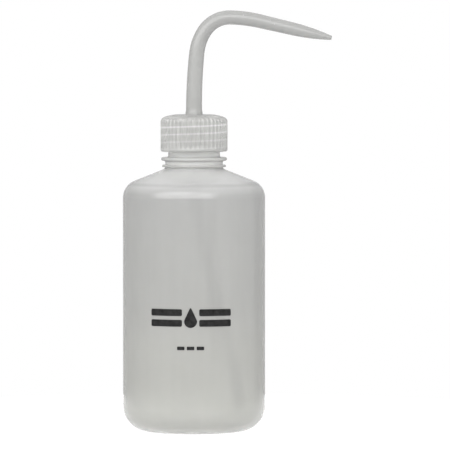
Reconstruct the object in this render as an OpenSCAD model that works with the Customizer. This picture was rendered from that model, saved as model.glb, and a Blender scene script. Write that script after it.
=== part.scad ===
// Laboratory wash bottle, 250 mL class, with a screw cap and a bent nozzle.
// Millimetres. Origin at the centre of the foot, +Z up, +X the way the nozzle points.

/* [Bottle] */
// Radius of the round body
body_r = 30.6; // [30.4:0.1:30.8]
// Height at which the straight wall ends and the shoulder starts
shoulder_z = 100.2; // [99:0.1:100.2]
// Radius of the arc between the wall and the shoulder's slope
shoulder_r = 8; // [7:0.5:8]
// Slope of the shoulder above the horizontal, in degrees
shoulder_slope = 21.5; // [20.5:0.5:21.5]
// Radius of the corner between the foot and the wall
foot_corner_r = 10.5; // [9.5:0.5:11]
// Height of the pushed-up centre of the base
push_up = 2.5; // [1.5:0.5:3]
// Wall thickness of the body
wall = 1.1; // [0.9:0.1:1.2]

/* [Neck] */
// Outer radius of the neck at the root of its thread
neck_r = 11.15; // [11:0.05:11.15]
// Radius of the bore through the neck
bore_r = 9; // [8.8:0.1:9.1]
// Height of the rim of the mouth
rim_z = 132.9; // [132.5:0.1:133]
// Rise of the thread in one turn
pitch = 3.175; // [3:0.025:3.2]
// How far the bottle's thread stands out of the neck
thread_h = 0.9; // [0.8:0.05:0.95]

/* [Cap] */
// Outer radius of the cap over its ribs
cap_r = 14.4; // [14.3:0.1:14.8]
// Height of the cap
cap_h = 16; // [15.9:0.1:16.2]
// Number of grip ribs
rib_count = 45; // [30:5:60]

/* [Spout] */
// Length of the riser before the bend starts
riser_len = 26; // [22:1:30]
// Radius of the main bend, along its centreline
bend_r = 13; // [11:0.5:16]
// How far the nozzle dips below the horizontal, in degrees
nozzle_dip = 13.2; // [5:0.2:20]
// Length of the straight part of the nozzle
nozzle_len = 31.3; // [25:0.1:40]
// Outer diameter of the riser just above the cap
spout_d = 7; // [6.6:0.1:7]

/* [Dip tube] */
// Outer diameter of the dip tube
tube_d = 4.8; // [4.4:0.1:4.8]
// Wall thickness of the dip tube
tube_wall = 0.8; // [0.6:0.1:1]
// Slant of the lower part away from the bottle's axis, in degrees
tube_slant = 12.9; // [8:0.1:13]

/* [Hidden] */
$fn = 144;
eps = 0.01;

// Shoulder and base
shoulder_c = [body_r - shoulder_r, shoulder_z];
foot_c = [body_r - foot_corner_r, foot_corner_r];
foot_ring_w = 2.6;
recess_r = body_r - foot_corner_r - foot_ring_w;
dome_r = (recess_r * recess_r + push_up * push_up) / (2 * push_up);

// Neck: a thicker root carries two beads below the cap
root_r = 12.4;
root_top_z = 117;
root_cone_h = 1.2;
lower_bead = [13.8, 113.95, 0.5];
upper_bead = [14.2, 116.95, 0.8];
rim_round = 0.5;

// Thread of the neck, from its upper end down, and of the cap, from its lower end up
facets = 36;
runout = 40;
neck_thread_top_z = 131.2;
neck_thread_turns = 2;
neck_thread_turn = 97;
cap_thread_low_z = 122.9;
cap_thread_turns = 2.85;
cap_thread_turn = neck_thread_turn + 360 * (cap_thread_low_z - neck_thread_top_z) / pitch - 180;
mesh_clear = 0.4;
thread_root_w = 2.2;
thread_crest_w = 0.9;

// Closure stack, upwards from the rim
seat_gap = 0.05;
washer_t = 0.8;
washer_z = rim_z + seat_gap;
flange_z = washer_z + washer_t + seat_gap;
flange_t = 0.8;
flange_r = 10.8;
washer_hole_r = 9.2;
cap_under_z = flange_z + flange_t + seat_gap;

// Cap
cap_bottom_z = 120.1;
cap_top_z = cap_bottom_z + cap_h;
cap_dome_r = 18;
groove_dome_r = 14;
cap_flat_r = 6.6;
cap_edge_r = 2.2;
cap_lip_r = 0.9;
cap_band_h = 1.8;
rib_h = 0.3;
rib_w = 1.24;
cap_thread_bore_r = neck_r + thread_h + mesh_clear;
cap_seat_bore_r = flange_r + 0.35;
cap_seat_h = 1.2;
cap_lead_in = 0.8;

// Spout
shank_r = 3.7;
hole_clear = 0.08;
shank_top_z = cap_top_z + 0.5;
riser_z = shank_top_z + 1.6;
socket_r = 3.5;
socket_bottom_z = 126;
socket_depth = 5;
bore_share = 0.6;
riser_lean = 5.5;
entry_bend = [10, 26];
main_bend = 60;
exit_bend_len = 13;
exit_bend = 90 + nozzle_dip - riser_lean - entry_bend[1] - main_bend;
main_bend_len = bend_r * main_bend * PI / 180;
spout_sides = 20;

// Dip tube
tube_top_z = socket_bottom_z + socket_depth;
tube_bend_r = 40;
tube_kink_z = 99.3;
tube_end_z = 9;
tube_mitre = 35;
tube_step = 0.04;
tube_tangent = tube_bend_r * tan(tube_slant / 2);
tube_reach = (tube_kink_z - tube_end_z) / cos(tube_slant);

// One helical thread ridge on the axis. r_root lies inside the wall that carries it, r_crest is the free
// edge, and both ends run out over "runout" degrees.
module thread(r_wall, r_root, r_crest, z0, turns) {
    steps = ceil(turns * facets);
    function swell(a) = sin(90 * min(1, min(a, 360 * turns - a) / runout));
    function ring(a) =
        let (
            z = z0 + pitch * a / 360,
            s = 0.02 + 0.98 * swell(a),
            rc = r_wall + (r_crest - r_wall) * s,
            h = thread_root_w / 2,
            c = thread_crest_w / 2
        )
        [
            [r_root, z - h],
            [rc, z - c],
            [rc, z + c],
            [r_root, z + h]
        ];
    points = [
        for (i = [0 : steps])
            let (a = 360 * turns * i / steps)
            for (p = ring(a)) [p[0] * cos(a), p[0] * sin(a), p[1]]
    ];
    outward = r_crest > r_wall;
    quads = [
        for (i = [0 : steps - 1])
            for (k = [0 : 3])
                let (a = 4 * i + k, b = 4 * i + (k + 1) % 4)
                outward ? [b, b + 4, a + 4, a] : [a, a + 4, b + 4, b]
    ];
    ends = outward
        ? [[3, 2, 1, 0], [for (k = [0 : 3]) 4 * steps + k]]
        : [[0, 1, 2, 3], [for (k = [3 : -1 : 0]) 4 * steps + k]];
    polyhedron(points = points, faces = concat(quads, ends), convexity = 8);
}

// Half section of the bottle's body and shoulder, drawn in by t, filled to the axis.
module body_half(t) {
    arc_r = shoulder_r - t;
    tangent = shoulder_c + arc_r * [sin(shoulder_slope), cos(shoulder_slope)];
    peak = tangent + tangent[0] * [-1, tan(shoulder_slope)];
    difference() {
        union() {
            polygon([[0, shoulder_z - 1], shoulder_c - [0, 1], shoulder_c, tangent, peak]);
            translate([0, foot_c[1]])
                square([body_r - t, shoulder_z - foot_c[1]]);
            translate([0, t])
                square([foot_c[0], foot_c[1] - t]);
            intersection() {
                translate(foot_c)
                    circle(foot_corner_r - t);
                square([body_r, foot_c[1] + eps]);
            }
            intersection() {
                translate(shoulder_c)
                    circle(arc_r);
                translate([0, shoulder_z - eps])
                    square([body_r, shoulder_r + 2 * eps]);
            }
        }
        translate([0, push_up - dome_r])
            circle(dome_r + t);
    }
}

// Half section of one bead round the neck: tip radius, height of its middle, half thickness.
module bead_half(b) {
    translate([bore_r + 1, b[1] - b[2]])
        square([b[0] - b[2] - bore_r - 1, 2 * b[2]]);
    translate([b[0] - b[2], b[1]])
        circle(b[2]);
}

module neck_half() {
    low = shoulder_z + shoulder_r;
    translate([0, low])
        square([neck_r, rim_z - rim_round - low]);
    translate([0, low])
        square([neck_r - rim_round, rim_z - low]);
    translate([neck_r - rim_round, rim_z - rim_round])
        circle(rim_round);
    polygon([
        [0, low], [root_r, low], [root_r, root_top_z - root_cone_h],
        [neck_r, root_top_z], [0, root_top_z]
    ]);
    bead_half(lower_bead);
    bead_half(upper_bead);
}

module bottle() {
    color([0.86, 0.87, 0.85, 0.75]) {
        rotate_extrude()
            difference() {
                union() {
                    body_half(0);
                    neck_half();
                }
                body_half(wall);
                translate([-1, shoulder_z])
                    square([bore_r + 1, rim_z]);
            }
        rotate([0, 0, neck_thread_turn])
            thread(
                neck_r, neck_r - 0.3, neck_r + thread_h,
                neck_thread_top_z - pitch * neck_thread_turns, neck_thread_turns
            );
    }
}

// Half section of the cap's outside: a flat middle, a domed edge of radius dome, and a straight side.
module cap_half(side, dome) {
    dome_z = cap_top_z - dome;
    edge_x = side - cap_edge_r;
    edge_z = dome_z + sqrt(pow(dome - cap_edge_r, 2) - pow(edge_x - cap_flat_r, 2));
    normal = [edge_x - cap_flat_r, edge_z - dome_z] / (dome - cap_edge_r);
    lip_x = side - cap_lip_r;
    lip_z = cap_bottom_z + cap_lip_r;
    intersection() {
        union() {
            polygon([
                [0, cap_top_z], [0, cap_bottom_z], [edge_x, cap_bottom_z], [edge_x, edge_z],
                [edge_x, edge_z] + (cap_edge_r + 1) * normal, [cap_flat_r, cap_top_z + 1]
            ]);
            translate([edge_x, edge_z])
                circle(cap_edge_r);
            translate([0, lip_z])
                square([side, edge_z - lip_z]);
            translate([0, cap_bottom_z])
                square([lip_x, cap_lip_r]);
            translate([lip_x, lip_z])
                circle(cap_lip_r);
        }
        union() {
            translate([0, cap_bottom_z])
                square([cap_flat_r, cap_h]);
            translate([cap_flat_r, dome_z])
                circle(dome);
        }
    }
}

// One grip rib in plan: a bar that runs in over the domed edge, with a round nose.
module rib_plan() {
    translate([cap_flat_r, -rib_w / 2])
        square([cap_r - rib_w / 2 - cap_flat_r, rib_w]);
    translate([cap_r - rib_w / 2, 0])
        circle(d = rib_w, $fn = 32);
}

module screw_cap() {
    bore_top_z = cap_under_z - cap_seat_h;
    color([0.88, 0.89, 0.88, 0.7]) {
        difference() {
            union() {
                rotate_extrude()
                    cap_half(cap_r - rib_h, groove_dome_r);
                intersection() {
                    rotate_extrude()
                        cap_half(cap_r, cap_dome_r);
                    union() {
                        translate([0, 0, cap_bottom_z - 1])
                            cylinder(r = cap_r + 1, h = cap_band_h + 1);
                        for (i = [0 : rib_count - 1])
                            rotate([0, 0, 360 * i / rib_count])
                                translate([0, 0, cap_bottom_z + 1])
                                    linear_extrude(cap_h)
                                        rib_plan();
                    }
                }
            }
            translate([0, 0, cap_bottom_z - 1])
                cylinder(r = cap_thread_bore_r, h = bore_top_z - cap_bottom_z + 1);
            translate([0, 0, cap_bottom_z - eps])
                cylinder(r1 = cap_thread_bore_r + cap_lead_in / 2, r2 = cap_thread_bore_r, h = cap_lead_in);
            translate([0, 0, cap_bottom_z])
                cylinder(r = cap_seat_bore_r, h = cap_under_z - cap_bottom_z);
            translate([0, 0, cap_bottom_z])
                cylinder(r = shank_r + hole_clear, h = cap_h + 1);
        }
        rotate([0, 0, cap_thread_turn])
            thread(
                cap_thread_bore_r, cap_thread_bore_r + 0.3, cap_thread_bore_r - thread_h,
                cap_thread_low_z, cap_thread_turns
            );
    }
}

// Spout: each station is [x, z, heading, length along the centreline]. Headings are degrees above +X.
function walk(from, len, turn, n) = [
    for (i = [1 : n])
        let (
            s = len * i / n,
            a = turn * i / n,
            h = from[2],
            r = turn == 0 ? 0 : len * 180 / (turn * PI),
            x = turn == 0 ? s * cos(h) : r * (sin(h) - sin(h - a)),
            z = turn == 0 ? s * sin(h) : r * (cos(h - a) - cos(h))
        )
        [from[0] + x, from[1] + z, h - a, from[3] + s]
];

function last(v) = v[len(v) - 1];

riser = concat([[0, riser_z, 90, riser_z - cap_top_z]], walk([0, riser_z, 90, riser_z - cap_top_z],
    riser_len - (riser_z - cap_top_z), riser_lean, 5));
entry = walk(last(riser), entry_bend[0], entry_bend[1], 4);
bend = walk(last(entry), main_bend_len, main_bend, 7);
ease = walk(last(bend), exit_bend_len, exit_bend, 3);
nozzle = walk(last(ease), nozzle_len, 0, 12);
stations = concat(riser, entry, bend, ease, nozzle);
spout_len = last(stations)[3];
ogive_len = 18;
ogive_start = spout_len - ogive_len;
tip_d = 1.9;

// Outer diameter at length s: an even taper, then an ogive to the tip.
function spout_d_at(s) =
    let (
        shaft = lookup(s, [[0, spout_d], [24, 6.7], [46, 6.2], [58, 6.15], [ogive_start, 5.65]]),
        u = max(0, s - ogive_start) / ogive_len
    )
    shaft - (shaft - tip_d) * pow(u, 1.9);

module spout_sweep() {
    n = spout_sides;
    rings = len(stations);
    points = [
        for (share = [1, bore_share])
            for (p = stations)
                let (r = spout_d_at(p[3]) / 2 * share)
                for (k = [0 : n - 1])
                    let (t = 360 * (k + 0.5) / n)
                    [p[0] + r * cos(t) * sin(p[2]), r * sin(t), p[1] - r * cos(t) * cos(p[2])]
    ];
    inner = rings * n;
    skin = [
        for (i = [0 : rings - 2])
            for (k = [0 : n - 1])
                let (a = i * n + k, b = i * n + (k + 1) % n)
                [a + n, b + n, b, a]
    ];
    bore = [for (f = skin) [for (j = [3 : -1 : 0]) f[j] + inner]];
    tip = (rings - 1) * n;
    ends = [
        for (k = [0 : n - 1])
            let (m = (k + 1) % n)
            for (f = [[k, m, m + inner, k + inner], [tip + k + inner, tip + m + inner, tip + m, tip + k]])
                f
    ];
    polyhedron(points = points, faces = concat(skin, bore, ends), convexity = 10);
}

module spout() {
    color([0.85, 0.86, 0.84, 0.8]) {
        rotate_extrude()
            difference() {
                union() {
                    translate([0, flange_z])
                        square([flange_r, flange_t]);
                    translate([0, flange_z])
                        square([shank_r, shank_top_z - flange_z]);
                    translate([0, socket_bottom_z])
                        square([socket_r, flange_z - socket_bottom_z]);
                    polygon([[0, shank_top_z], [shank_r, shank_top_z], [spout_d / 2, riser_z], [0, riser_z]]);
                }
                translate([-1, socket_bottom_z - 1])
                    square([tube_d / 2 + 1, socket_depth + 1]);
                translate([-1, socket_bottom_z])
                    square([bore_share * spout_d / 2 + 1, riser_z]);
            }
        spout_sweep();
    }
}

// A solid along the dip tube's centreline: upright, one bend, then slanted. The bend is a hair thinner
// than the straight runs, which reach tube_step into it.
module tube_run(d) {
    bend_z = tube_kink_z + tube_tangent;
    translate([0, 0, bend_z - tube_step])
        cylinder(d = d, h = tube_top_z - bend_z + tube_step);
    translate([tube_bend_r, 0, bend_z])
        rotate([90, 0, 0])
            rotate_extrude(angle = tube_slant, start = 180)
                translate([tube_bend_r, 0])
                    circle(d = d - tube_step);
    translate([0, 0, tube_kink_z])
        rotate([0, 180 - tube_slant, 0])
            translate([0, 0, tube_tangent - tube_step])
                cylinder(d = d, h = tube_reach - tube_tangent + tube_step);
}

module dip_tube() {
    end_x = (tube_kink_z - tube_end_z) * tan(tube_slant);
    color([0.84, 0.85, 0.83, 0.8])
        difference() {
            tube_run(tube_d);
            tube_run(tube_d - 2 * tube_wall);
            translate([end_x, 0, tube_end_z])
                rotate([0, -tube_slant + tube_mitre, 0])
                    translate([0, 0, -10])
                        cube([40, 40, 20], center = true);
        }
}

module sealing_washer() {
    color([0.9, 0.9, 0.88])
        translate([0, 0, washer_z])
            difference() {
                cylinder(r = flange_r, h = washer_t);
                translate([0, 0, -1])
                    cylinder(r = washer_hole_r, h = washer_t + 2);
            }
}

bottle();
screw_cap();
spout();
dip_tube();
sealing_washer();
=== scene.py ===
"""Wash bottle: detailed pieces, materials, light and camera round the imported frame. Metres."""
import math

import bpy
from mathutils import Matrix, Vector, noise


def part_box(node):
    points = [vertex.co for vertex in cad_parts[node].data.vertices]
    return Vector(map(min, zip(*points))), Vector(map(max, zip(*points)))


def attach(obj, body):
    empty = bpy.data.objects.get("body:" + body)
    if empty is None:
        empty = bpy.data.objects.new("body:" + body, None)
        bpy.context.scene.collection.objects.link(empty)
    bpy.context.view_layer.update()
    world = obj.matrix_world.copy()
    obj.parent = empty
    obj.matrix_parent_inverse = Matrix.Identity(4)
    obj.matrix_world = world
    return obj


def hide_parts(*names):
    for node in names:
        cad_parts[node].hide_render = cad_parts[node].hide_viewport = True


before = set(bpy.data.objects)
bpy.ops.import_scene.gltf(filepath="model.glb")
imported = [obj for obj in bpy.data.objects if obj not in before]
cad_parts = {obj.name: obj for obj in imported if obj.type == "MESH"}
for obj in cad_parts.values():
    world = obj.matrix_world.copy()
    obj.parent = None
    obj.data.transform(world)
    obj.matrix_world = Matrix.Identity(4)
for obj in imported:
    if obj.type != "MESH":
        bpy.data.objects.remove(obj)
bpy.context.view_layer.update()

MM = 0.001
ON_AXIS = 1e-7            # a radius below this is on the axis

# ---------------------------------------------------------------- places, from the frame
BOTTLE_LOW, BOTTLE_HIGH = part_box("bottle")
CAP_LOW, CAP_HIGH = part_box("screw_cap")
TUBE_LOW, TUBE_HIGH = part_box("dip_tube")
WASHER_LOW, WASHER_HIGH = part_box("sealing_washer")

BODY_R = -BOTTLE_LOW[0]
RIM_Z = BOTTLE_HIGH[2]
CAP_R = -CAP_LOW[0]
CAP_BOTTOM = CAP_LOW[2]
CAP_TOP = CAP_HIGH[2]

# ---------------------------------------------------------------- bottle
WALL = 1.1 * MM
SKIN = 0.05 * MM          # the moulded surface lies this far inside, and ink fills the gap
SHOULDER_Z = 100.2 * MM
SHOULDER_R = 8 * MM
SHOULDER_SLOPE = math.radians(21.5)
FOOT_CORNER_R = 10.5 * MM
FOOT_RING_W = 2.6 * MM
PUSH_UP = 2.5 * MM
NECK_R = 11.15 * MM
BORE_R = 9 * MM
RIM_ROUND = 0.5 * MM
MOUTH_ROUND = 0.3 * MM
ROOT_R = 12.4 * MM
ROOT_FLARE = 0.8 * MM
# A bead's tip radius, the height of its middle, and half its thickness
LOWER_BEAD = (13.8 * MM, 113.95 * MM, 0.5 * MM)
UPPER_BEAD = (14.2 * MM, 116.95 * MM, 0.8 * MM)
NECK_START = UPPER_BEAD[1] + UPPER_BEAD[2]
BOTTLE_SEGMENTS = 288

# ---------------------------------------------------------------- threads
PITCH = 3.175 * MM
THREAD_H = 0.9 * MM
THREAD_ROOT_W = 2.2 * MM
THREAD_CREST_W = 0.9 * MM
THREAD_RUNOUT = 40        # degrees over which a thread swells at each end
NECK_TURNS = 2
NECK_TURN_START = 97
NECK_THREAD_TOP = RIM_Z - 1.7 * MM
CAP_THREAD_LOW = CAP_BOTTOM + 2.8 * MM
# "turn" and "z" are the angle and the height of a thread's lower end
NECK_THREAD = {
    "turn": NECK_TURN_START,
    "z": NECK_THREAD_TOP - NECK_TURNS * PITCH,
    "turns": NECK_TURNS,
}
CAP_THREAD = {
    "turn": NECK_TURN_START + 360 * (CAP_THREAD_LOW - NECK_THREAD_TOP) / PITCH - 180,
    "z": CAP_THREAD_LOW,
    "turns": 2.85,
}

# ---------------------------------------------------------------- small helpers


def arc(cx, cz, r, start, end, n):
    """Points on an arc in the (radius, height) plane, with angles in degrees."""
    steps = [math.radians(start + (end - start) * i / n) for i in range(n + 1)]
    return [(cx + r * math.cos(a), cz + r * math.sin(a)) for a in steps]


def line(p, q, n):
    """Points from p up to and without q."""
    return [(p[0] + (q[0] - p[0]) * i / n, p[1] + (q[1] - p[1]) * i / n) for i in range(n)]


def smooth(t):
    """Eased step from 0 to 1."""
    t = max(0.0, min(1.0, t))
    return t * t * (3 - 2 * t)


def new_mesh(name, points, faces):
    mesh = bpy.data.meshes.new(name)
    mesh.from_pydata(points, [], faces)
    mesh.polygons.foreach_set("use_smooth", [True] * len(mesh.polygons))
    mesh.update()
    obj = bpy.data.objects.new(name, mesh)
    bpy.context.scene.collection.objects.link(obj)
    return obj


def lathe(name, outline, segments, shape=None):
    """Turns an outline of (radius, height) points, with the material on its left, about +Z.
    shape(index, radius, height, degrees) may move a point. Points on the axis are shared."""
    points, rings = [], []
    for i, (r, z) in enumerate(outline):
        if r < ON_AXIS:
            rings.append([len(points)] * segments)
            points.append((0, 0, z))
            continue
        rings.append(range(len(points), len(points) + segments))
        for k in range(segments):
            degrees = 360 * k / segments
            a = math.radians(degrees)
            rr, zz = shape(i, r, z, degrees) if shape else (r, z)
            points.append((rr * math.cos(a), rr * math.sin(a), zz))
    faces = []
    count = len(rings)
    closed = outline[0][0] > ON_AXIS
    for i in range(count if closed else count - 1):
        low, high = rings[i], rings[(i + 1) % count]
        for k in range(segments):
            m = (k + 1) % segments
            face = [low[k], low[m], high[m], high[k]]
            face = [v for j, v in enumerate(face) if v != face[j - 1]]
            faces.append(face)
    return new_mesh(name, points, faces)


def thread_ridge(spec, z, degrees):
    """From 0 to 1, how far a thread stands out at this height and angle."""
    along = (degrees - spec["turn"]) % 360
    best = 0.0
    while along <= 360 * spec["turns"]:
        away = abs(z - spec["z"] - PITCH * along / 360)
        flank = (THREAD_ROOT_W / 2 - away) / (THREAD_ROOT_W / 2 - THREAD_CREST_W / 2)
        to_end = min(along, 360 * spec["turns"] - along)
        swell = math.sin(math.pi / 2 * min(1, to_end / THREAD_RUNOUT))
        best = max(best, smooth(flank) * swell)
        along += 360
    return best


def tube_rings(stations, sides, radius):
    """Rings of points round a centreline in the XZ plane.
    A station is (x, z, heading in radians, length so far)."""
    rings = []
    for x, z, heading, s in stations:
        r = radius(s)
        ring = []
        for k in range(sides):
            t = 2 * math.pi * k / sides
            across = r * math.cos(t)
            along_x, along_z = across * math.sin(heading), across * math.cos(heading)
            ring.append((x + along_x, r * math.sin(t), z - along_z))
        rings.append(ring)
    return rings


def skin_rings(name, rings, closed):
    """A mesh through rings of equal size, joined end to start when closed."""
    sides = len(rings[0])
    points = [p for ring in rings for p in ring]
    faces = []
    for i in range(len(rings) if closed else len(rings) - 1):
        a, b = i * sides, (i + 1) % len(rings) * sides
        for k in range(sides):
            m = (k + 1) % sides
            faces.append([a + k, a + m, b + m, b + k])
    return new_mesh(name, points, faces)


def walk(start, length, turn, n):
    """Stations along an arc or a straight: it turns clockwise by turn degrees over its length."""
    x0, z0, h, s0 = start
    turn = math.radians(turn)
    out = []
    for i in range(1, n + 1):
        s, a = length * i / n, turn * i / n
        if turn:
            r = length / turn
            x = r * (math.sin(h) - math.sin(h - a))
            z = r * (math.cos(h - a) - math.cos(h))
        else:
            x, z = s * math.cos(h), s * math.sin(h)
        out.append((x0 + x, z0 + z, h - a, s0 + s))
    return out


# ---------------------------------------------------------------- materials


def tinted(colour, share):
    return tuple(min(1.0, c * share) for c in colour)


def milk(share, warmth):
    """White plastic that reflects this share of the light, and less blue than green by warmth."""
    return tinted((0.9985, 1.0, 1 - warmth), share)


class Nodes:
    """A short way to write a node tree."""

    def __init__(self, name):
        self.material = bpy.data.materials.new(name)
        self.material.use_nodes = True
        self.tree = self.material.node_tree
        self.tree.nodes.clear()
        output = self.tree.nodes.new("ShaderNodeOutputMaterial")
        self.shader = self.tree.nodes.new("ShaderNodeBsdfPrincipled")
        self.tree.links.new(self.shader.outputs[0], output.inputs[0])
        self.place = self.tree.nodes.new("ShaderNodeTexCoord").outputs["Object"]

    def set(self, **values):
        for key, value in values.items():
            self.shader.inputs[key.replace("_", " ")].default_value = value

    def feed(self, socket, output):
        self.tree.links.new(output, self.shader.inputs[socket])

    def scaled(self, factors):
        node = self.tree.nodes.new("ShaderNodeMapping")
        node.inputs["Scale"].default_value = factors
        self.tree.links.new(self.place, node.inputs["Vector"])
        return node.outputs[0]

    def noise(self, scale, detail=3.0, rough=0.5, place=None):
        node = self.tree.nodes.new("ShaderNodeTexNoise")
        node.inputs["Scale"].default_value = scale
        node.inputs["Detail"].default_value = detail
        node.inputs["Roughness"].default_value = rough
        self.tree.links.new(place or self.place, node.inputs["Vector"])
        return node.outputs["Fac"]

    def ramp(self, fac, stops):
        node = self.tree.nodes.new("ShaderNodeValToRGB")
        elements = node.color_ramp.elements
        while len(elements) > 1:
            elements.remove(elements[-1])
        for i, (at, colour) in enumerate(stops):
            element = elements[0] if i == 0 else elements.new(at)
            element.position = at
            element.color = (*(colour if isinstance(colour, tuple) else (colour,) * 3), 1)
        self.tree.links.new(fac, node.inputs[0])
        return node.outputs[0]

    def blend(self, fac, a, b):
        node = self.tree.nodes.new("ShaderNodeMix")
        node.data_type = "RGBA"
        self.tree.links.new(fac, node.inputs[0])
        self.tree.links.new(a, node.inputs[6])
        self.tree.links.new(b, node.inputs[7])
        return node.outputs[2]

    def split(self):
        node = self.tree.nodes.new("ShaderNodeSeparateXYZ")
        self.tree.links.new(self.place, node.inputs[0])
        return node.outputs

    def range(self, fac, low, high, start=0.0, end=1.0):
        node = self.tree.nodes.new("ShaderNodeMapRange")
        node.inputs["From Min"].default_value = start
        node.inputs["From Max"].default_value = end
        node.inputs["To Min"].default_value = low
        node.inputs["To Max"].default_value = high
        self.tree.links.new(fac, node.inputs["Value"])
        return node.outputs[0]

    def math(self, operation, *inputs):
        node = self.tree.nodes.new("ShaderNodeMath")
        node.operation = operation
        for socket, value in zip(node.inputs, inputs):
            if isinstance(value, (int, float)):
                socket.default_value = value
            else:
                self.tree.links.new(value, socket)
        return node.outputs[0]

    def thread_band_and_highlight(self, spec):
        """From 0 to 1 where a thread thickens the wall behind the skin, strongest near its top; the
        pale band it sets is also a painted highlight of the thread rows seen through the cap.
        """
        place = self.split()
        angle = self.math("ARCTAN2", place["Y"], place["X"])
        turn = self.math("MULTIPLY", angle, 0.5 / math.pi)
        phase = 0.5 - spec["z"] / PITCH + spec["turn"] / 360
        rise = self.math("MULTIPLY_ADD", place["Z"], 1 / PITCH, phase)
        across = self.math("FRACT", self.math("SUBTRACT", rise, turn))
        stops = [(0.0, 0.0), (0.34, 0.0), (0.45, 1.0), (0.55, 1.0), (0.66, 0.0)]
        band = self.ramp(across, stops)
        top = spec["z"] + PITCH * spec["turns"]
        rising = self.range(place["Z"], 0.25, 1.0, spec["z"], top - 1.5 * MM)
        ending = self.range(place["Z"], 1.0, 0.0, top + 0.4 * MM, top + 1.2 * MM)
        return self.math("MULTIPLY", band, self.math("MULTIPLY", rising, ending))

    def add(self, a, b, share=0.5):
        """a and b mixed by share."""
        node = self.tree.nodes.new("ShaderNodeMix")
        node.data_type = "FLOAT"
        node.inputs[0].default_value = share
        self.tree.links.new(a, node.inputs[2])
        self.tree.links.new(b, node.inputs[3])
        return node.outputs[0]

    def bump(self, height, distance, strength=1.0, under=None):
        node = self.tree.nodes.new("ShaderNodeBump")
        node.inputs["Strength"].default_value = strength
        node.inputs["Distance"].default_value = distance
        self.tree.links.new(height, node.inputs["Height"])
        if under:
            self.tree.links.new(under, node.inputs["Normal"])
        return node.outputs[0]


CLOUD_LOW, CLOUD_HIGH = 0.3, 0.7          # the part of a noise's range that is used


def milky(name, tones, spread, transmission, roughness, drawn, bump_depth,
          subsurface=0.0, thread=None):
    """Translucent polyolefin: cloudy colour, streaks along Z, a satin skin and moulding texture.
    tones is (height in mm, share, warmth) from low to high; the shares are painted light and shade
    set by height, partly also a thicker wall that scatters more and is paler. spread is how far the
    clouding varies it; drawn stretches the streaks; thread is a thread that shows through, its band
    painted paler as a thicker wall and as painted highlight."""
    n = Nodes(name)
    shades = [(height * MM, milk(share, warmth)) for height, share, warmth in tones]
    clouds = n.noise(45, 4, 0.55)
    streaks = n.noise(260, 3, 0.6, n.scaled((1, 1, drawn)))
    mottle = n.add(clouds, streaks, 0.4)
    low, high = shades[0][0], shades[-1][0]
    if high > low:
        up = n.range(n.split()["Z"], 0, 1, low, high)
        shares = [(z - low) / (high - low) for z, _ in shades]
        sides = [n.ramp(up, [(at, tinted(c, 1 + way * spread)) for at, (_, c) in zip(shares, shades)])
                 for way in (-1, 1)]
        colour = n.blend(n.range(mottle, 0, 1, CLOUD_LOW, CLOUD_HIGH), *sides)
    else:
        only = shades[0][1]
        stops = [(CLOUD_LOW, tinted(only, 1 - spread)), (CLOUD_HIGH, tinted(only, 1 + spread))]
        colour = n.ramp(mottle, stops)
    if thread:
        # The thread's rows are painted paler: partly the thicker wall, partly painted highlight of
        # the thread seen through the cap.
        pale_and_highlight = n.ramp(mottle, [(CLOUD_LOW, milk(0.97, 0.01)), (CLOUD_HIGH, milk(1.0, 0.01))])
        colour = n.blend(n.thread_band_and_highlight(thread), colour, pale_and_highlight)
    n.feed("Base Color", colour)
    worn = n.add(streaks, n.noise(700, 5, 0.7), 0.5)
    n.feed("Roughness", n.range(worn, roughness * 0.8, roughness * 1.2, CLOUD_LOW, CLOUD_HIGH))
    grain = n.bump(n.noise(2600, 2, 0.5), bump_depth)
    n.feed("Normal", n.bump(streaks, bump_depth * 3, 0.6, grain))
    n.set(IOR=1.51, Transmission_Weight=transmission, Subsurface_Weight=subsurface,
          Subsurface_Radius=(1.0, 1.0, 0.95), Subsurface_Scale=0.002)
    return n.material


# (height in mm, share, warmth). On the body the shares are partly a thicker, paler wall at the foot
# and the neck, and mostly painted light and shade by height: a paler foot corner and lower body,
# a painted highlight band and a painted dark line on the shoulder, a paler upward-facing cone, and
# the bead gaps and the neck below the cap painted paler against the shade that falls there.
BODY_TONES_AND_PAINTED_LIGHT = (
    (0, 0.75, 0.038), (4, 0.65, 0.042), (10, 0.62, 0.046), (14, 0.605, 0.046),
    (36, 0.605, 0.042), (52, 0.577, 0.03), (80, 0.575, 0.024), (102.2, 0.575, 0.015),
    (103.4, 0.635, 0.012), (105.4, 0.70, 0.01), (106.1, 0.57, 0.01), (106.7, 0.64, 0.01),
    (107.4, 0.78, 0.01), (108, 0.82, 0.01), (112.2, 0.83, 0.012), (112.8, 1.0, 0.02),
    (113.3, 0.90, 0.02), (113.7, 0.62, 0.022), (114.3, 0.62, 0.022), (114.7, 0.92, 0.022),
    (116.0, 1.0, 0.022), (116.4, 0.72, 0.022), (117.6, 0.68, 0.022), (118.2, 0.94, 0.022),
    (120, 0.94, 0.022), (121.5, 0.61, 0.022), (134, 0.55, 0.022),
)
# The spout's share falls from the cap up to the nozzle: painted shade that darkens the nozzle's top
# against the light from above.
SPOUT_TONES_PAINTED_SHADE = ((136, 0.505, 0.028), (181, 0.46, 0.02))
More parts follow.
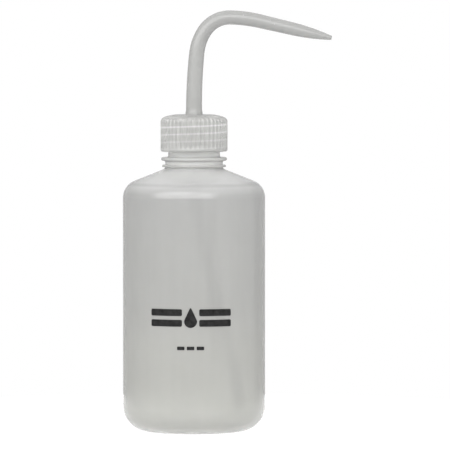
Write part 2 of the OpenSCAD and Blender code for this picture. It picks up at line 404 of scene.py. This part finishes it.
# The dip tube is painted much darker than its plastic, as painted shade, so that it shows through the
# bottle's wall as its shadow does.
TUBE_TONES_PAINTED_SHADE = ((0, 0.12, 0.03),)
CAP_TONES = ((0, 0.70, 0.022),)
BOTTLE_PLASTIC = milky(
    "milky_polyethylene", BODY_TONES_AND_PAINTED_LIGHT, spread=0.03, transmission=0.6, roughness=0.12,
    drawn=0.06, bump_depth=0.004 * MM, subsurface=0.5)
SPOUT_PLASTIC = milky(
    "spout_polyethylene", SPOUT_TONES_PAINTED_SHADE, spread=0.03, transmission=0.5, roughness=0.24,
    drawn=0.1, bump_depth=0.002 * MM)
TUBE_PLASTIC = milky(
    "tube_polyethylene", TUBE_TONES_PAINTED_SHADE, spread=0.03, transmission=0.1, roughness=0.3,
    drawn=0.03, bump_depth=0.01 * MM)
# The cap's colour carries a pale helix along its thread: painted highlight, partly the thicker wall.
CAP_PLASTIC = milky(
    "clear_polypropylene", CAP_TONES, spread=0.02, transmission=0.69, roughness=0.05,
    drawn=0.3, bump_depth=0.002 * MM, thread=CAP_THREAD)


def foam():
    """Closed-cell sealing foam: white, matt, finely pitted."""
    n = Nodes("sealing_foam")
    cells = n.tree.nodes.new("ShaderNodeTexVoronoi")
    cells.inputs["Scale"].default_value = 3500
    n.tree.links.new(n.place, cells.inputs["Vector"])
    n.feed("Base Color", n.ramp(cells.outputs["Distance"], [(0.0, 0.86), (0.6, 0.78)]))
    n.feed("Roughness", n.range(n.noise(900), 0.7, 0.85))
    n.feed("Normal", n.bump(cells.outputs["Distance"], 0.04 * MM, 0.5))
    return n.material


def printed_ink():
    """Black screen ink: slightly uneven film with a soft gloss."""
    n = Nodes("screen_ink")
    n.feed("Base Color", n.ramp(n.noise(500, 4, 0.6), [(0.3, 0.006), (0.75, 0.022)]))
    n.feed("Roughness", n.range(n.noise(1500, 3), 0.3, 0.5))
    n.feed("Normal", n.bump(n.noise(4000, 2), 0.01 * MM, 0.4))
    n.set(Specular_IOR_Level=0.12)
    return n.material


FOAM = foam()
INK = printed_ink()


def dress(obj, material, body):
    """Gives a piece its material and slot, and the body that it rides on."""
    obj.data.materials.append(material)
    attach(obj, body)
    return obj


# ---------------------------------------------------------------- the bottle's mesh


def bead(tip, z, half, low_r, high_r):
    """One bead round the neck, from below to above."""
    return [(low_r, z - half)] + arc(tip - half, z, half, -90, 90, 10) + [(high_r, z + half)]


def bottle_side(t, wall_rows):
    """Half section of the body drawn in by t, from the base's centre to the end of the shoulder's
    arc."""
    r = BODY_R - SKIN - t
    foot_x = BODY_R - SKIN - FOOT_CORNER_R
    recess = foot_x - FOOT_RING_W
    dome = (recess * recess + PUSH_UP * PUSH_UP) / (2 * PUSH_UP)
    edge = math.degrees(math.asin(recess / dome))
    side = arc(0, PUSH_UP - dome, dome + t, 90, 90 - edge, 24)
    side += [(recess + 0.4 * MM, t + 0.01 * MM), (foot_x - 0.4 * MM, t)]
    side += arc(foot_x, FOOT_CORNER_R, FOOT_CORNER_R - t, -90, 0, 24)[:-1]
    side += line((r, FOOT_CORNER_R), (r, SHOULDER_Z), wall_rows)
    shoulder_x = BODY_R - SKIN - SHOULDER_R
    side += arc(shoulder_x, SHOULDER_Z, SHOULDER_R - t, 0, 90 - math.degrees(SHOULDER_SLOPE), 24)
    return side


def slope_z(point, r):
    """Height of the shoulder's slope at radius r, above the end of its arc."""
    return point[1] + (point[0] - r) * math.tan(SHOULDER_SLOPE)


def neck_outside():
    """Half section of the neck's outside: the root with two beads, then up to and over the rim."""
    under = LOWER_BEAD[1] - LOWER_BEAD[2]
    between = LOWER_BEAD[1] + LOWER_BEAD[2], UPPER_BEAD[1] - UPPER_BEAD[2]
    side = [(ROOT_R + 0.25 * MM, under - 0.5 * MM), (ROOT_R + 0.03 * MM, under - 0.25 * MM)]
    side += bead(*LOWER_BEAD, ROOT_R + 0.1 * MM, ROOT_R + 0.15 * MM)
    side += [(ROOT_R, between[0] + 0.3 * MM), (ROOT_R, between[1] - 0.65 * MM)]
    side += bead(*UPPER_BEAD, ROOT_R + 0.3 * MM, NECK_R + 0.45 * MM)
    side += [(NECK_R + 0.12 * MM, NECK_START + 0.2 * MM), (NECK_R, NECK_START + 0.55 * MM)]
    side += line((NECK_R, NECK_START + 0.85 * MM), (NECK_R, RIM_Z - RIM_ROUND), 110)
    side += arc(NECK_R - RIM_ROUND, RIM_Z - RIM_ROUND, RIM_ROUND, 0, 90, 6)
    side += arc(BORE_R + MOUTH_ROUND, RIM_Z - MOUTH_ROUND, MOUTH_ROUND, 90, 180, 5)
    return side


def blown_wave(a, z):
    """How far the blown wall sinks in at this angle and height, in slight broad and fine waves."""
    p = Vector((math.cos(a) * 0.9, math.sin(a) * 0.9, z / (28 * MM)))
    broad = noise.noise(p * 1.3, noise_basis="PERLIN_ORIGINAL")
    fine = noise.noise(p * 4.1 + Vector((7, 3, 1)), noise_basis="PERLIN_ORIGINAL")
    return 0.04 * MM + broad * 0.05 * MM + fine * 0.012 * MM


def make_bottle():
    outside = bottle_side(0, 60)
    flare = (ROOT_R + ROOT_FLARE, slope_z(outside[-1], ROOT_R + ROOT_FLARE))
    outside += line(outside[-1], flare, 14)[1:] + [flare]
    outside += neck_outside()
    inside = bottle_side(WALL, 40)
    low = slope_z(inside[-1], BORE_R)
    mouth_x = BORE_R + 0.5 * MM
    inside += line(inside[-1], (mouth_x, slope_z(inside[-1], mouth_x)), 10)[1:]
    inside += [(mouth_x, slope_z(inside[-1], mouth_x)), (BORE_R + 0.1 * MM, low + 0.3 * MM)]
    inside += line((BORE_R, low + 0.8 * MM), (BORE_R, RIM_Z - 0.6 * MM), 8)
    outer_count = len(outside)
    tolerance = 0.01 * MM
    thread_from = NECK_START + 0.7 * MM
    wall_to = 112 * MM
    centre_r = 4 * MM
    parting_h, parting_w = 0.045 * MM, 0.35 * MM

    def shape(i, r, z, degrees):
        on_outside = i < outer_count
        if on_outside and abs(r - NECK_R) < tolerance and z > thread_from:
            r += THREAD_H * thread_ridge(NECK_THREAD, z, degrees)
        if z > wall_to or r < centre_r or not on_outside:
            return r, z
        # The waves fade out at the foot, which stays flat
        a = math.radians(degrees)
        fade = smooth((z - 2 * MM) / (12 * MM))
        r -= fade * blown_wave(a, z)
        # The two mould halves meet in a fine line on the left and the right
        off = abs(math.sin(a)) * r
        return r + fade * parting_h * math.exp(-((off / parting_w) ** 2)), z

    return lathe("bottle_shell", outside + inside[::-1], BOTTLE_SEGMENTS, shape)


bottle = dress(make_bottle(), BOTTLE_PLASTIC, "bottle")
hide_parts("bottle")

# ---------------------------------------------------------------- screw cap
RIBS = 45
RIB_SEGMENTS = 20
RIB_H = 0.45 * MM
RIB_TIP_R = 0.62 * MM
CAP_EDGE_R = 2.2 * MM
CAP_FLAT_R = 6.6 * MM
CAP_LIP_R = 0.9 * MM
CREST_DOME_R = 18 * MM
GROOVE_DOME_R = 14 * MM
BAND_TOP = CAP_BOTTOM + 1.8 * MM
BAND_FADE = 0.5 * MM
CAP_BORE_R = NECK_R + THREAD_H + 0.4 * MM
CAP_UNDER = CAP_TOP - 1.45 * MM
SEAT_BORE_R = 11.15 * MM
SEAT_LOW = CAP_UNDER - 1.2 * MM
SHANK_R = 3.7 * MM
HOLE_R = SHANK_R + 0.08 * MM
HOLE_EDGE = 0.25 * MM


def cap_outside(side, dome, rows):
    """Half section of the cap's outside, from its lip up to the hole.
    side and dome are the radii of the side and of the domed edge."""
    edge_x = side - CAP_EDGE_R
    dome_z = CAP_TOP - dome
    edge_z = dome_z + math.sqrt((dome - CAP_EDGE_R) ** 2 - (edge_x - CAP_FLAT_R) ** 2)
    normal = math.degrees(math.atan2(edge_z - dome_z, edge_x - CAP_FLAT_R))
    out = arc(side - CAP_LIP_R, CAP_BOTTOM + CAP_LIP_R, CAP_LIP_R, -90, 0, 6)
    out += line((side, CAP_BOTTOM + CAP_LIP_R), (side, edge_z), rows)[1:]
    out += arc(edge_x, edge_z, CAP_EDGE_R, 0, normal, 8)
    out += arc(CAP_FLAT_R, dome_z, dome, normal, 90, 8)[1:]
    out += [(5.2 * MM, CAP_TOP), (HOLE_R + HOLE_EDGE, CAP_TOP), (HOLE_R, CAP_TOP - HOLE_EDGE)]
    return out


def cap_inside():
    """Half section of the cap's inside, from the hole down over the seat to the lip."""
    side = [(HOLE_R, CAP_UNDER + 0.2 * MM), (HOLE_R + 0.2 * MM, CAP_UNDER)]
    side += [(SEAT_BORE_R - 0.3 * MM, CAP_UNDER), (SEAT_BORE_R, CAP_UNDER - 0.3 * MM)]
    side += [(SEAT_BORE_R, SEAT_LOW + 0.1 * MM), (SEAT_BORE_R + 0.1 * MM, SEAT_LOW)]
    side += [(CAP_BORE_R - 0.15 * MM, SEAT_LOW), (CAP_BORE_R, SEAT_LOW - 0.15 * MM)]
    side += line((CAP_BORE_R, SEAT_LOW - 0.4 * MM), (CAP_BORE_R, CAP_BOTTOM + 0.8 * MM), 60)
    side += [(CAP_BORE_R + 0.1 * MM, CAP_BOTTOM + 0.5 * MM), (CAP_BORE_R + 0.4 * MM, CAP_BOTTOM)]
    return side


def rib_share(degrees, z):
    """From 0 in a groove to 1 on a rib's crest. The plain band at the cap's foot is all crest."""
    across = ((degrees * RIBS / 360 + 0.5) % 1 - 0.5) * 2 * math.pi * CAP_R / RIBS
    tip = math.sqrt(max(0.0, RIB_TIP_R ** 2 - across ** 2)) - RIB_TIP_R + RIB_H
    return max(0.0, tip / RIB_H, 1 - smooth((z - BAND_TOP) / BAND_FADE))


def make_cap():
    crest = cap_outside(CAP_R, CREST_DOME_R, 16)
    groove = cap_outside(CAP_R - RIB_H, GROOVE_DOME_R, 16)

    def shape(i, r, z, degrees):
        if i < len(crest):
            rib, low = rib_share(degrees, z), groove[i]
            return low[0] + (r - low[0]) * rib, low[1] + (z - low[1]) * rib
        if abs(r - CAP_BORE_R) < 0.01 * MM:
            r -= THREAD_H * thread_ridge(CAP_THREAD, z, degrees)
        return r, z

    return lathe("ribbed_cap", crest + cap_inside(), RIBS * RIB_SEGMENTS, shape)


cap = dress(make_cap(), CAP_PLASTIC, "cap")
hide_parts("screw_cap")

# ---------------------------------------------------------------- spout
SPOUT_D = 7 * MM
TIP_D = 1.9 * MM
BORE_SHARE = 0.6
RISER_Z = CAP_TOP + 2.1 * MM
RISER_LEN = 26 * MM
RISER_LEAN = 5.5
ENTRY_LEN = 10 * MM
ENTRY_BEND = 26
MAIN_BEND_R = 13 * MM
MAIN_BEND = 60
EXIT_LEN = 13 * MM
NOZZLE_DIP = 13.2
NOZZLE_LEN = 31.2 * MM
OGIVE_LEN = 18 * MM
SPOUT_SIDES = 48
FLANGE_Z = WASHER_HIGH[2] + 0.05 * MM
FLANGE_TOP = FLANGE_Z + 0.8 * MM
FLANGE_R = 10.8 * MM
FLANGE_EDGE = 0.2 * MM
SOCKET_R = 3.5 * MM
SOCKET_TOP = TUBE_HIGH[2]
SOCKET_LOW = SOCKET_TOP - 5 * MM
TUBE_R = 2.4 * MM


def spout_path():
    """Stations of the leaning riser, an easing bend, the main bend, its exit and the nozzle."""
    start = (0, RISER_Z, math.pi / 2, RISER_Z - CAP_TOP)
    path = [start]
    exit_bend = 90 + NOZZLE_DIP - RISER_LEAN - ENTRY_BEND - MAIN_BEND
    legs = (
        (RISER_LEN - start[3], RISER_LEAN, 18),
        (ENTRY_LEN, ENTRY_BEND, 14),
        (MAIN_BEND_R * math.radians(MAIN_BEND), MAIN_BEND, 26),
        (EXIT_LEN, exit_bend, 12),
        (NOZZLE_LEN, 0, 44),
    )
    for length, turn, n in legs:
        path += walk(path[-1], length, turn, n)
    return path


def spout_radius(s, total):
    """Outer radius at length s above the cap's top: an even taper, then an ogive to the tip."""
    marks = [(0, SPOUT_D), (24 * MM, 6.7 * MM), (46 * MM, 6.2 * MM), (58 * MM, 6.15 * MM)]
    marks += [(total - OGIVE_LEN, 5.65 * MM), (total, 5.65 * MM)]
    d = marks[-1][1]
    for (a, da), (b, db) in zip(marks, marks[1:]):
        if a <= s <= b:
            d = da + (db - da) * (s - a) / (b - a)
            break
    u = max(0.0, s - (total - OGIVE_LEN)) / OGIVE_LEN
    return (d - (d - TIP_D) * u ** 1.9) / 2 - SKIN


def shank_outside():
    """(radius, height) points from the socket's mouth, over the flange, up to the riser."""
    side = [(SOCKET_R - 0.25 * MM, SOCKET_LOW), (SOCKET_R, SOCKET_LOW + 0.25 * MM)]
    side += line((SOCKET_R, SOCKET_LOW + 1 * MM), (SOCKET_R, FLANGE_Z - 0.4 * MM), 4)
    side += [(SOCKET_R + 0.1 * MM, FLANGE_Z - 0.1 * MM), (SOCKET_R + 0.4 * MM, FLANGE_Z)]
    side += [(FLANGE_R - FLANGE_EDGE, FLANGE_Z), (FLANGE_R, FLANGE_Z + FLANGE_EDGE)]
    side += [(FLANGE_R, FLANGE_TOP - FLANGE_EDGE), (FLANGE_R - FLANGE_EDGE, FLANGE_TOP)]
    side += [(SHANK_R + 0.05 * MM, FLANGE_TOP), (SHANK_R, FLANGE_TOP + 0.1 * MM)]
    side += [(SHANK_R, CAP_TOP + 0.2 * MM), (SHANK_R - 0.03 * MM, CAP_TOP + 0.6 * MM)]
    side += [(SHANK_R - 0.14 * MM, CAP_TOP + 1.3 * MM)]
    return side


def upright(r, z):
    """A level ring about the axis."""
    steps = [2 * math.pi * k / SPOUT_SIDES for k in range(SPOUT_SIDES)]
    return [(r * math.cos(t), r * math.sin(t), z) for t in steps]


def make_spout():
    path = spout_path()
    total, heading = path[-1][3], path[-1][2]
    outer = tube_rings(path, SPOUT_SIDES, lambda s: spout_radius(s, total))
    inner = tube_rings(path, SPOUT_SIDES, lambda s: spout_radius(s, total) * BORE_SHARE)
    # The tip's edge stands out a little between the outside and the bore
    out = [0.1 * MM * h for h in (math.cos(heading), 0, math.sin(heading))]
    edge = [tuple(0.5 * (p + q) + d for p, q, d in zip(a, b, out))
            for a, b in zip(outer[-1], inner[-1])]
    rings = [upright(r, z) for r, z in shank_outside()]
    rings += outer + [edge] + inner[::-1]
    bore = BORE_SHARE * SPOUT_D / 2
    rings += [upright(bore, z) for z in (RISER_Z - 1 * MM, SOCKET_TOP + 0.1 * MM)]
    rings += [upright(TUBE_R, SOCKET_TOP), upright(TUBE_R, SOCKET_LOW + 0.3 * MM)]
    rings += [upright(TUBE_R + 0.2 * MM, SOCKET_LOW)]
    return skin_rings("bent_spout", rings, True)


spout = dress(make_spout(), SPOUT_PLASTIC, "spout")
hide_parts("spout")

# ---------------------------------------------------------------- dip tube
TUBE_BORE_R = 1.6 * MM
TUBE_SLANT = 12.9
TUBE_KINK_Z = 99.3 * MM
TUBE_BEND_R = 40 * MM
TUBE_MITRE = math.radians(35)
TUBE_END_Z = TUBE_LOW[2] + 2.4 * MM
TUBE_SIDES = 40


def make_dip_tube():
    slant = math.radians(TUBE_SLANT)
    tangent = TUBE_BEND_R * math.tan(slant / 2)
    top = SOCKET_TOP - 0.02 * MM
    path = [(0, top, -math.pi / 2, 0)]
    path += walk(path[-1], top - TUBE_KINK_Z - tangent, 0, 8)
    path += walk(path[-1], TUBE_BEND_R * slant, -TUBE_SLANT, 12)
    path += walk(path[-1], (TUBE_KINK_Z - TUBE_END_Z) / math.cos(slant) - tangent, 0, 30)
    outer = tube_rings(path, TUBE_SIDES, lambda s: TUBE_R)
    inner = tube_rings(path, TUBE_SIDES, lambda s: TUBE_BORE_R)
    # The mitre leans the last ring along the tube
    end_x, end_z, heading, _ = path[-1]
    sin, cos = math.sin(heading), math.cos(heading)
    for ring in (outer[-1], inner[-1]):
        for k, (x, y, z) in enumerate(ring):
            shift = ((x - end_x) * sin - (z - end_z) * cos) * math.tan(TUBE_MITRE)
            ring[k] = (x + shift * cos, y, z + shift * sin)
    return skin_rings("slanted_dip_tube", outer + inner[::-1], True)


dip_tube = dress(make_dip_tube(), TUBE_PLASTIC, "spout")
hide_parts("dip_tube")

# ---------------------------------------------------------------- sealing washer


def make_washer():
    low, high, inner, outer = WASHER_LOW[2], WASHER_HIGH[2], 9.2 * MM, FLANGE_R
    edge = 0.15 * MM
    outline = [(inner + edge, low), (outer - edge, low)]
    outline += [(outer, low + edge), (outer, high - edge)]
    outline += [(outer - edge, high), (inner + edge, high)]
    outline += [(inner, high - edge), (inner, low + edge)]
    return lathe("washer_ring", outline, 128)


washer = dress(make_washer(), FOAM, "seal")
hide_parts("sealing_washer")

# ---------------------------------------------------------------- generic print
PRINT_X = -1.3 * MM
PRINT_Z = 50.3 * MM
DROP_H = 8.4 * MM
BAR = (14.2 * MM, 2.9 * MM, 0.6 * MM)             # width, height, corner radius
BAR_GAP = 3.7 * MM                                # from the middle to the bars
BAR_STEP = 4.5 * MM
SMALL_PRINT_Z = 37.4 * MM
SMALL_BAR = (3.2 * MM, 1.5 * MM, 0.3 * MM)
SMALL_STEP = 4.2 * MM
INK_OUT = BODY_R - 0.02 * MM
INK_IN = BODY_R - 0.16 * MM
INK_RINGS = 16
INK_RING_STEP = 0.06


def rounded_bar(cx, cz, size):
    """Outline of a bar with rounded corners, counter-clockwise."""
    w, h, r = size
    out = []
    for sx, sz, start in ((1, 1, 0), (-1, 1, 90), (-1, -1, 180), (1, -1, 270)):
        out += arc(cx + sx * (w / 2 - r), cz + sz * (h / 2 - r), r, start, start + 90, 5)
    return out


def finer(outline, step):
    """The same outline with no side longer than step."""
    out = []
    for p, q in zip(outline, outline[1:] + outline[:1]):
        out += line(p, q, max(1, math.ceil(math.dist(p, q) / step)))
    return out


def droplet(cx, cz, h):
    """Outline of a drop standing on its round end, counter-clockwise."""
    r = h * 0.33
    low = cz - h / 2 + r
    sides = 48
    out = []
    for i in range(sides):
        t = 2 * math.pi * i / sides
        lift = max(0.0, math.sin(t))
        x = r * math.cos(t) * (1 - 0.55 * lift ** 1.5)
        z = low + (h - 2 * r) * lift ** 2.2 + r * math.sin(t)
        out.append((cx + x, z))
    return out


def ink_film(name, outlines):
    """Thin closed films wrapped onto the front of the body, one for each (x, z) outline."""
    points, faces = [], []
    shares = [1 - INK_RING_STEP * i for i in range(INK_RINGS)]
    rings = [(share, INK_IN) for share in shares[::-1]] + [(share, INK_OUT) for share in shares]
    for outline in (finer(o, 0.4 * MM) for o in outlines):
        n = len(outline)
        cx, cz = sum(p[0] for p in outline) / n, sum(p[1] for p in outline) / n
        start = len(points)
        for share, radius in rings:
            for x, z in outline:
                a = (cx + (x - cx) * share) / BODY_R
                points.append((radius * math.sin(a), -radius * math.cos(a), cz + (z - cz) * share))
        for i in range(len(rings) - 1):
            low, high = start + i * n, start + (i + 1) * n
            for k in range(n):
                m = (k + 1) % n
                faces.append([low + k, low + m, high + m, high + k])
        faces.append([start + k for k in range(n)][::-1])
        faces.append([start + (len(rings) - 1) * n + k for k in range(n)])
    return new_mesh(name, points, faces)


def make_print():
    outlines = [droplet(PRINT_X, PRINT_Z, DROP_H)]
    for side in (-1, 1):
        for row in (-0.5, 0.5):
            cx = PRINT_X + side * (BAR_GAP + BAR[0] / 2)
            outlines.append(rounded_bar(cx, PRINT_Z + row * BAR_STEP, BAR))
    for i in (-1, 0, 1):
        outlines.append(rounded_bar(PRINT_X + i * SMALL_STEP, SMALL_PRINT_Z, SMALL_BAR))
    return ink_film("front_print", outlines)


front_print = dress(make_print(), INK, "bottle")

# ---------------------------------------------------------------- floor, light and camera
ROOM_FRONT = 1.0
ROOM_BACK = 0.6
FLOOR_R = 0.2
FLOOR_SIDES = 96
MIDDLE = (0, 0, 0.1)                              # what the lights and the cards face
CARD_R = 1.15
CARD_CELLS = 24


def make_floor():
    """A round pale table top, wider than the camera sees."""
    steps = [2 * math.pi * k / FLOOR_SIDES for k in range(FLOOR_SIDES)]
    ring = [(FLOOR_R * math.cos(t), FLOOR_R * math.sin(t), 0) for t in steps]
    floor = new_mesh("studio_floor", ring, [list(range(FLOOR_SIDES))])
    n = Nodes("pale_floor")
    n.feed("Base Color", n.ramp(n.noise(3, 2), [(CLOUD_LOW, 0.19), (CLOUD_HIGH, 0.21)]))
    n.set(Roughness=0.9, Specular_IOR_Level=0.1)
    n.set(Emission_Strength=0.95, Emission_Color=(1, 1, 1, 1))
    floor.data.materials.append(n.material)


def heading(azimuth, elevation):
    """Unit vector away from the object. Azimuth 0 is in front of the print, 90 is at +X."""
    az, el = math.radians(azimuth), math.radians(elevation)
    return Vector((math.sin(az) * math.cos(el), -math.cos(az) * math.cos(el), math.sin(el)))


def softbox(name, size, distance, azimuth, elevation, radiance):
    """A rectangular soft light that faces the middle of the object."""
    data = bpy.data.lights.new(name, "AREA")
    data.shape = "RECTANGLE"
    data.size, data.size_y = size
    data.energy = radiance * math.pi * size[0] * size[1]
    lamp = bpy.data.objects.new(name, data)
    away = heading(azimuth, elevation)
    lamp.location = Vector(MIDDLE) + away * distance
    lamp.rotation_euler = away.to_track_quat("Z", "Y").to_euler()
    bpy.context.scene.collection.objects.link(lamp)


def studio_world():
    """The camera sees plain white. The rest sees a room, bright in front and dimmer behind."""
    world = bpy.data.worlds.new("studio")
    bpy.context.scene.world = world
    world.use_nodes = True
    tree = world.node_tree
    tree.nodes.clear()
    new, link = tree.nodes.new, tree.links.new
    out, mix = new("ShaderNodeOutputWorld"), new("ShaderNodeMixShader")
    path, place = new("ShaderNodeLightPath"), new("ShaderNodeTexCoord")
    split, ramp = new("ShaderNodeSeparateXYZ"), new("ShaderNodeMapRange")
    room, seen = new("ShaderNodeBackground"), new("ShaderNodeBackground")
    link(place.outputs["Generated"], split.inputs[0])
    link(split.outputs["Y"], ramp.inputs["Value"])
    ramp.inputs["From Min"].default_value = -0.6
    ramp.inputs["From Max"].default_value = 0.7
    ramp.inputs["To Min"].default_value = ROOM_FRONT
    ramp.inputs["To Max"].default_value = ROOM_BACK
    link(ramp.outputs[0], room.inputs["Strength"])
    room.inputs["Color"].default_value = (1, 1, 1, 1)
    seen.inputs["Color"].default_value = (1, 1, 1, 1)
    link(path.outputs["Is Camera Ray"], mix.inputs[0])
    link(room.outputs[0], mix.inputs[1])
    link(seen.outputs[0], mix.inputs[2])
    link(mix.outputs[0], out.inputs[0])


def flag(name, azimuths, elevations):
    """A black card on a sphere round the object that keeps light off, unseen by the camera."""
    n = CARD_CELLS
    points = []
    for i in range(n + 1):
        for j in range(n + 1):
            azimuth = azimuths[0] + (azimuths[1] - azimuths[0]) * i / n
            elevation = elevations[0] + (elevations[1] - elevations[0]) * j / n
            points.append(Vector(MIDDLE) + heading(azimuth, elevation) * CARD_R)
    corners = [i * (n + 1) + j for i in range(n) for j in range(n)]
    faces = [[c, c + n + 1, c + n + 2, c + 1] for c in corners]
    card = new_mesh(name, points, faces)
    card.visible_camera = False
    m = Nodes("black_card")
    m.feed("Base Color", m.ramp(m.noise(20), [(CLOUD_LOW, 0.004), (CLOUD_HIGH, 0.006)]))
    m.set(Roughness=1.0, Specular_IOR_Level=0.0)
    card.data.materials.append(m.material)


def make_camera():
    """Eye a little above the cap, 2 m in front, aimed at the middle of the object's outline."""
    data = bpy.data.cameras.new("camera")
    data.sensor_width = 36
    data.lens = 372.4
    data.clip_end = 50
    camera = bpy.data.objects.new("camera", data)
    aim = Vector((13.3 * MM, 0, 88.5 * MM))
    camera.location = aim + Vector((0, -2.0, 84.5 * MM))
    camera.rotation_euler = (camera.location - aim).to_track_quat("Z", "Y").to_euler()
    bpy.context.scene.collection.objects.link(camera)
    bpy.context.scene.camera = camera


make_floor()
studio_world()
softbox("front_softbox", (1.9, 0.62), 0.85, azimuth=-16, elevation=30, radiance=3.0)
softbox("right_fill", (1.8, 1.4), 1.2, azimuth=78, elevation=12, radiance=0.45)
softbox("back_softbox", (2.0, 0.9), 1.0, azimuth=184, elevation=66, radiance=0.45)
flag("top_flag", (-100, 100), (88, 98))
make_camera()
bpy.context.scene.view_settings.view_transform = "Standard"
